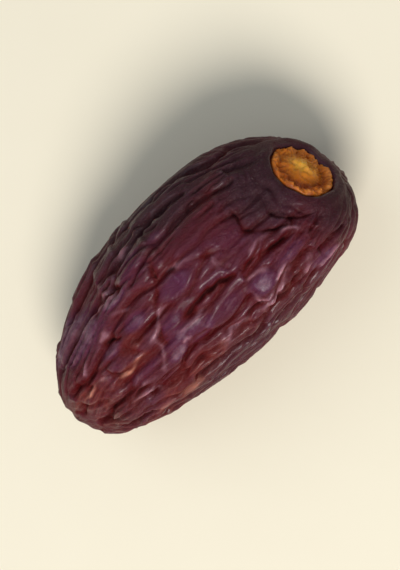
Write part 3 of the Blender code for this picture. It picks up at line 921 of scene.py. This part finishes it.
def skinMaterial(crinkle, blotches):
    finish = skinFinish
    material, tree, shader = newMaterial("dateSkin")
    mask = {name: tree.attribute(name) for name in skinLayers}
    fine = tree.placed(crinkle, finish["crinkle"]).outputs
    wide, small = [tree.cloud(blotches, *cloud) for cloud in finish["clouds"]]

    # Mauve wax and its painted sheen on what stands out.
    waxAndSheen = tree.spread(mask["crown"], *finish["waxAndSheenRange"])
    mask["waxAndSheen"] = tree.mottled(waxAndSheen, wide, *finish["wideMottle"])
    mask["coat"] = tree.spread(mask["crown"], *finish["coatRange"])
    share = {key: tree.mottled(mask[key], small, *ends) for key, ends in finish["mottle"].items()}
    waxAndSheenShare = tree.math("MAXIMUM", share["waxAndSheen"], share["pale"])
    nearWarm = tree.spread(mask["warm"], *finish["nearWarm"])
    dustAll, dustDusk = finish["dustShares"]
    dust = tree.math("ADD", tree.times(wide, dustAll), tree.times(mask["dullAndShade"], dustDusk))
    colour = tree.layered(
        finish["flesh"],
        [
            (waxAndSheenShare, finish["waxAndSheen"]),
            # Painted silvery sheen where the wax is thickest.
            (tree.spread(share["pale"], *finish["silverSheenRange"]), finish["silverSheen"]),
            (share["warm"], finish["warm"]),
            # Painted highlight along the crease edges.
            (share["line"], tree.mix(nearWarm, finish["line"], finish["warmLine"])),
            (tree.spread(mask["hollow"], *finish["creaseRange"]), finish["crease"]),
            # Painted shade in the deepest creases.
            (tree.spread(mask["hollow"], *finish["pitRange"]), finish["pit"]),
            # Dull grey-brown skin with painted shade.
            (tree.times(mask["dullAndShade"], finish["duskShare"]), finish["dullAndShade"]),
            # Painted highlight on the thin crests.
            (share["light"], tree.mix(nearWarm, finish["light"], finish["warmLight"])),
            (tree.times(fine["Speckle"], dust), finish["dust"]),
        ],
    )
    tree.feed(shader.inputs["Base Color"], colour)
    roughness = tree.spread(waxAndSheenShare, 0.0, 1.0, *finish["smoothAndDull"])
    roughness = tree.math("ADD", roughness, tree.spread(mask["hollow"], *finish["hollowDull"]))
    tree.feed(shader.inputs["Roughness"], roughness)
    tree.feed(shader.inputs["Coat Weight"], share["coat"])
    tree.finished(shader, finish, fine["Height"])
    return material


# Where the wax is thickest, with a painted sheen on it, where the skin is thin and lit through, and
# where it is dull, with painted shade over it, each as its middle, its half widths and its strength.
waxAndSheenPlaces = [
    (-9.4, 6.8, 2.6, 1.0, 2.0), (-1.5, 2.1, 3.2, 1.6, 1.1), (-3.8, -4.8, 2.8, 1.5, 1.4),
    (-6.9, -3.2, 3.0, 1.5, 1.15), (-8.2, -5.0, 2.0, 1.1, 1.5), (-5.8, -1.1, 2.4, 1.1, 1.2),
    (-9.3, 2.3, 2.0, 1.2, 1.45), (-14.5, 1.9, 2.2, 1.0, 1.5), (-4.5, 7.5, 2.6, 1.2, 1.25),
    (0.7, 8.7, 1.8, 1.0, 1.4), (1.3, -5.2, 3.4, 1.3, 0.7), (7.1, -6.2, 2.6, 1.35, 1.4),
    (12.5, -5.8, 3.0, 1.0, 1.0), (-14.0, -3.7, 3.8, 1.0, 1.25), (8.0, 1.2, 2.6, 1.6, 0.5),
    (-12.5, 3.9, 1.8, 0.8, 0.8), (-17.5, 7.0, 6.5, 3.0, 1.5), (15.0, -9.6, 3.0, 0.8, 1.3),
    (-4.0, 9.8, 2.4, 0.8, 1.3),
]
warmPlaces = [
    (-8.5, -9.0, 6.0, 2.2, 0.75), (-12.0, 0.6, 2.0, 1.3, 0.9), (-20.5, -5.0, 5.0, 4.5, 0.35),
    (-13.0, -10.5, 8.0, 2.2, 0.45), (-14.5, -2.2, 3.6, 0.9, 0.9), (-22.0, -1.0, 4.0, 2.0, 0.5),
    (3.0, -9.4, 5.0, 0.9, 0.3),
]
dullAndShadePlaces = [
    (16.5, 4.5, 6.5, 7.5, 0.9), (22.0, -6.0, 4.5, 4.5, 0.75), (4.0, 11.8, 13.0, 4.2, 0.85),
    (-22.0, 7.0, 6.0, 4.0, 0.3), (-4.0, -12.0, 16.0, 2.6, 0.4), (-19.5, -7.5, 5.0, 3.5, 0.25),
]


# How the skin's values are made from its surface.
skinMasks = {
    "crownSteps": 14,  # a crest is what stands out from this much smoothing
    "crownSpan": 0.5,
    "up": (-1.8, 3.0),  # the soft spots fade in from this height, over this much
    "paleOverDusk": 0.5,
    "scarDusk": 0.6,  # dull skin with painted shade round the scar
    "scarDuskWidth": 3.0,
    "tipDusk": 1.3,  # and at the tip, this much wider than its dry point
}


def makeDate(material):
    smooth = smoothSkin()
    rows, columns = smooth.shape[:2]
    normals = gridNormals(smooth).reshape(-1, 3)
    points = smooth.reshape(-1, 3)
    x, y, z = points.T
    u = x * np.cos(cameraTilt) - z * np.sin(cameraTilt)
    v = y - (y.min() + y.max()) / 2.0
    height, hollow, line, light, fromScar, fromTip = skinRelief(points, normals, u, v)
    moved = points + normals * height[:, None]
    floor = moved[:, 2].min() + fruit["restCut"]
    moved[:, 2] = np.maximum(moved[:, 2], floor)
    heights = height.reshape(rows, columns)
    crown = (heights - softened(heights, skinMasks["crownSteps"])) / skinMasks["crownSpan"]
    crown = np.clip(0.5 + crown, 0.0, 1.0).ravel()

    up = smoothStep(z, *skinMasks["up"])
    # The first of these marks thick wax with a painted sheen on it, the last dull skin with painted shade.
    pale, warm, dullAndShade = [softSpots(u, v, spots) * up for spots in (waxAndSheenPlaces, warmPlaces, dullAndShadePlaces)]
    dullAndShade = dullAndShade * (1.0 - skinMasks["paleOverDusk"] * np.clip(pale, 0.0, 1.0))
    besideScar = skinMasks["scarDusk"] * bell(fromScar, stemEnd["radius"], skinMasks["scarDuskWidth"])
    dryPoint = bell(fromTip, 0.0, skinMasks["tipDusk"] * tip["pointWidth"])
    dullAndShade = np.maximum.reduce([dullAndShade, besideScar, dryPoint])
    found = (hollow, crown, line, light, pale, warm, dullAndShade)
    layers = {name: values.reshape(rows, columns) for name, values in zip(skinLayers, found)}

    fruitBox = moved.min(axis=0), moved.max(axis=0)
    rings = moved.reshape(rows, columns, 3)
    ends = [rings[0].mean(axis=0), rings[-1].mean(axis=0)]
    return meshPiece("dateSkin", rings, ends, fruitBox, layers, material), fruitBox


# The scar: a polar grid over its middle. Height is a long nub under a bell curve, less a groove
# round it, plus a raised rim, radial fibres as waves round the circle, and lumps; the edge turns
# down into the skin and closes underneath. Each share is of the way out from the middle.
scar = {
    "rows": 70,
    "columns": 220,
    "radius": 4.35,
    "sunk": 0.22,  # its face lies this far below the skin that was pressed flat
    "nub": 0.6,
    "nubAt": (0.4, -0.9),  # its middle, across and up
    "nubHalf": (2.3, 1.45),
    "turned": 8.0,  # the nub's long way, in degrees from level
    "groove": 0.45,
    "groovePlace": (0.62, 0.14),
    "grooveTo": 140.0,  # deepest at this angle, and shallow across from it
    "grooveLeast": 0.3,
    "grooveWander": 0.05,
    "rim": 0.18,
    "rimPlace": (0.88, 0.1),
    "rimTo": 195.0,  # and the rim is highest here
    "rimUneven": (0.6, 0.3, 0.3),  # its middle height, its rise to that side, its lumps
    "rimMost": 1.3,
    "lumps": 0.13,
    "lumpPitch": 1.6,
    "raggedPitch": 0.8,
    "raggedShare": 0.5,
    "fibre": 0.07,
    "fibres": 33,
    "fibreWander": (1.8, 1.4),
    "fibreStart": (0.25, 0.4),
    "turnDown": 0.9,
    "turnEdge": (0.94, 0.06),
    "rindEdge": (0.93, 0.06),
    "rindWander": 0.02,
    "depth": 1.3,
    "underRings": (0.8, 0.4),  # how wide it still is where it closes underneath
    "seed": 61,
}


def makeScar(material, fruitBox):
    rows, columns = scar["rows"], scar["columns"]
    share = np.linspace(0.0, 1.0, rows + 1)[1:, None]
    angle = (np.arange(columns) / columns * turn)[None, :]
    out = share * scar["radius"] * scarEdge(angle)
    across, up = stemEnd["widths"]
    sideways, upwards = out * np.cos(angle) * across, out * np.sin(angle) * up
    places = np.stack([sideways, upwards, 0.0 * out], axis=-1).reshape(-1, 3)
    lumps = slowWaves(places, scar["seed"] + 1, scar["lumpPitch"]).reshape(rows, columns)
    ragged = slowWaves(places, scar["seed"] + 2, scar["raggedPitch"]).reshape(rows, columns)

    lean = np.radians(scar["turned"])
    besideNub, aboveNub = sideways - scar["nubAt"][0], upwards - scar["nubAt"][1]
    longWay = besideNub * np.cos(lean) + aboveNub * np.sin(lean)
    shortWay = aboveNub * np.cos(lean) - besideNub * np.sin(lean)
    nub = bell(longWay, 0.0, scar["nubHalf"][0]) * bell(shortWay, 0.0, scar["nubHalf"][1])
    towards = 0.5 + 0.5 * np.cos(angle - np.radians(scar["grooveTo"]))
    groove = bell(share + scar["grooveWander"] * lumps, *scar["groovePlace"])
    groove = groove * (scar["grooveLeast"] + (1.0 - scar["grooveLeast"]) * towards)
    middle, rise, lumpy = scar["rimUneven"]
    uneven = middle + rise * np.cos(angle - np.radians(scar["rimTo"])) + lumpy * lumps
    rim = bell(share, *scar["rimPlace"]) * np.clip(uneven, 0.0, scar["rimMost"])
    byRagged, byLumps = scar["fibreWander"]
    fibre = np.cos(scar["fibres"] * angle + byRagged * ragged + byLumps * lumps)
    fibre = fibre * smoothStep(share, *scar["fibreStart"])
    height = scar["nub"] * nub - scar["groove"] * groove + scar["rim"] * rim + scar["fibre"] * fibre
    height = height + scar["lumps"] * (lumps + scar["raggedShare"] * ragged)
    height = height - scar["turnDown"] * smoothStep(share, *scar["turnEdge"])
    rind = smoothStep(share + scar["rindWander"] * lumps, *scar["rindEdge"])

    facing, level, steep = scarAxes()
    centre = scarCentre() - scar["sunk"] * facing
    flat = sideways[..., None] * level + upwards[..., None] * steep
    under = centre - scar["depth"] * facing
    top = centre + flat + height[..., None] * facing
    rings = np.vstack([top] + [under + wide * flat[-1:] for wide in scar["underRings"]])
    ends = [centre + scar["nub"] * facing, under]
    # The groove and the hollows between the fibres are marked for painted shade.
    found = {"pale": nub, "deep": groove, "edge": rim, "rind": rind, "fibre": np.clip(-fibre, 0.0, 1.0)}
    layers = {}
    for name, values in found.items():
        beneath = 1.0 if name == "rind" else 0.0
        layers[name] = np.vstack([values, np.full((2, columns), beneath)])
    return meshPiece("stemScar", rings, ends, fruitBox, layers, material)


scarFinish = {
    "amber": rgb(0.57, 0.145, 0.001),
    "deep": rgb(0.25, 0.026, 0.001),
    "pale": rgb(0.86, 0.47, 0.055),
    "rim": rgb(0.6, 0.215, 0.04),
    "rind": rgb(0.16, 0.03, 0.006),
    "crinkle": {"Scale": 1400.0, "Stretch": (1.0, 1.0, 1.0)},
    "cloud": (700.0, 0.38, 0.64),
    "paleMottle": (0.55, 1.0),
    "cloudShare": 0.25,
    "shares": {"deep": 0.8, "edge": 0.6, "fibre": 0.35, "rind": 0.85},
    "plain": {
        "Roughness": 0.4,
        "Specular IOR Level": 0.22,
        "Coat Weight": 0.08,
        "Coat Roughness": 0.12,
        "Subsurface Weight": 0.3,
        "Subsurface Radius": (1.0, 0.45, 0.12),
        "Subsurface Scale": 0.0012,
    },
    "bumpDistance": 0.0001,
    "bumpStrength": 0.5,
}


def scarMaterial(crinkle, blotches):
    finish = scarFinish
    material, tree, shader = newMaterial("scarAmber")
    small = tree.cloud(blotches, *finish["cloud"])
    share = {key: tree.times(tree.attribute(key), most) for key, most in finish["shares"].items()}
    colour = tree.layered(
        finish["amber"],
        [
            # Painted shade in the groove.
            (share["deep"], finish["deep"]),
            (share["edge"], finish["rim"]),
            (tree.mottled(tree.attribute("pale"), small, *finish["paleMottle"]), finish["pale"]),
            (tree.times(small, finish["cloudShare"]), finish["deep"]),
            # Painted shade between the fibres.
            (share["fibre"], finish["deep"]),
            (share["rind"], finish["rind"]),
        ],
    )
    tree.feed(shader.inputs["Base Color"], colour)
    tree.finished(shader, finish, tree.placed(crinkle, finish["crinkle"]).outputs["Height"])
    return material


# The table top, a cream sheet well past the picture's edges.
table = {
    "half": 1.5,
    "colour": rgb(0.82, 0.745, 0.585),
    "stain": rgb(0.79, 0.715, 0.555),
    "cloud": (9.0, 0.3, 0.7),
    "plain": {"Roughness": 0.75, "Specular IOR Level": 0.2},
}


def makeTable(blotches):
    material, tree, shader = newMaterial("creamTable")
    cloud = tree.cloud(blotches, *table["cloud"])
    tree.feed(shader.inputs["Base Color"], tree.mix(cloud, table["colour"], table["stain"]))
    tree.finished(shader, table)
    half = table["half"]
    mesh = bpy.data.meshes.new("tableTop")
    corners = [(-half, -half, 0.0), (half, -half, 0.0), (half, half, 0.0), (-half, half, 0.0)]
    mesh.from_pydata(corners, [], [(0, 1, 2, 3)])
    mesh.materials.append(material)
    top = addObject("tableTop", mesh)


# The picture's own right and up on the table: the fruit lies from lower left to upper right.
pictureRight = Vector((0.7, -0.714, 0.0))
pictureUp = Vector((0.714, 0.7, 0.0))

lamps = [
    # name, place as right, up and height in metres, size, watts, colour
    ("windowLight", (0.17, -0.46, 0.72), 0.5, 7.2, (1.0, 0.98, 0.95)),
    ("roomLight", (-0.45, 0.3, 0.8), 0.8, 1.8, (0.85, 0.93, 1.0)),
]
worldLight = {"colour": rgb(0.8, 0.89, 1.0), "strength": 0.36}


def makeLights():
    for name, (right, up, height), size, watts, colour in lamps:
        data = bpy.data.lights.new(name, "AREA")
        data.shape = "DISK"
        data.size = size
        data.energy = watts
        data.color = colour
        lamp = addObject(name, data)
        lamp.location = pictureRight * right + pictureUp * up + Vector((0.0, 0.0, height))
        lamp.rotation_euler = (-lamp.location).to_track_quat("-Z", "Y").to_euler()
    world = bpy.data.worlds.new("softRoom")
    world.use_nodes = True
    background = world.node_tree.nodes["Background"]
    background.inputs["Color"].default_value = worldLight["colour"]
    background.inputs["Strength"].default_value = worldLight["strength"]
    bpy.context.scene.world = world


# A long lens: the sensor's 36 mm is the picture's height, and the lens is set by what that height
# shows at the fruit.
camera = {"distance": 0.5, "pictureHeight": 0.0805125, "sensor": 36.0, "shift": 0.001}


def makeCamera():
    data = bpy.data.cameras.new("camera")
    data.sensor_width = camera["sensor"]
    data.lens = camera["sensor"] * camera["distance"] / camera["pictureHeight"]
    towards = Vector((math.sin(cameraTilt), 0.0, math.cos(cameraTilt)))
    across = pictureUp.cross(towards).normalized()
    placed = Matrix((across, towards.cross(across), towards)).transposed().to_4x4()
    placed.translation = Vector((cadBox[0] + cadBox[1]) / 2.0) + towards * camera["distance"]
    placed.translation += across * camera["shift"]
    eye = addObject("camera", data)
    eye.matrix_world = placed
    bpy.context.scene.camera = eye


bpy.context.scene.view_settings.view_transform = "Standard"
makeCamera()
makeLights()
crinkle, blotches = makeCrinkle(), makeBlotches()
makeTable(blotches)
print("camera, lights and table made")

skin, fruitBox = makeDate(skinMaterial(crinkle, blotches))
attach(skin, "root")
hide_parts("date")

plug = makeScar(scarMaterial(crinkle, blotches), fruitBox)
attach(plug, "root")
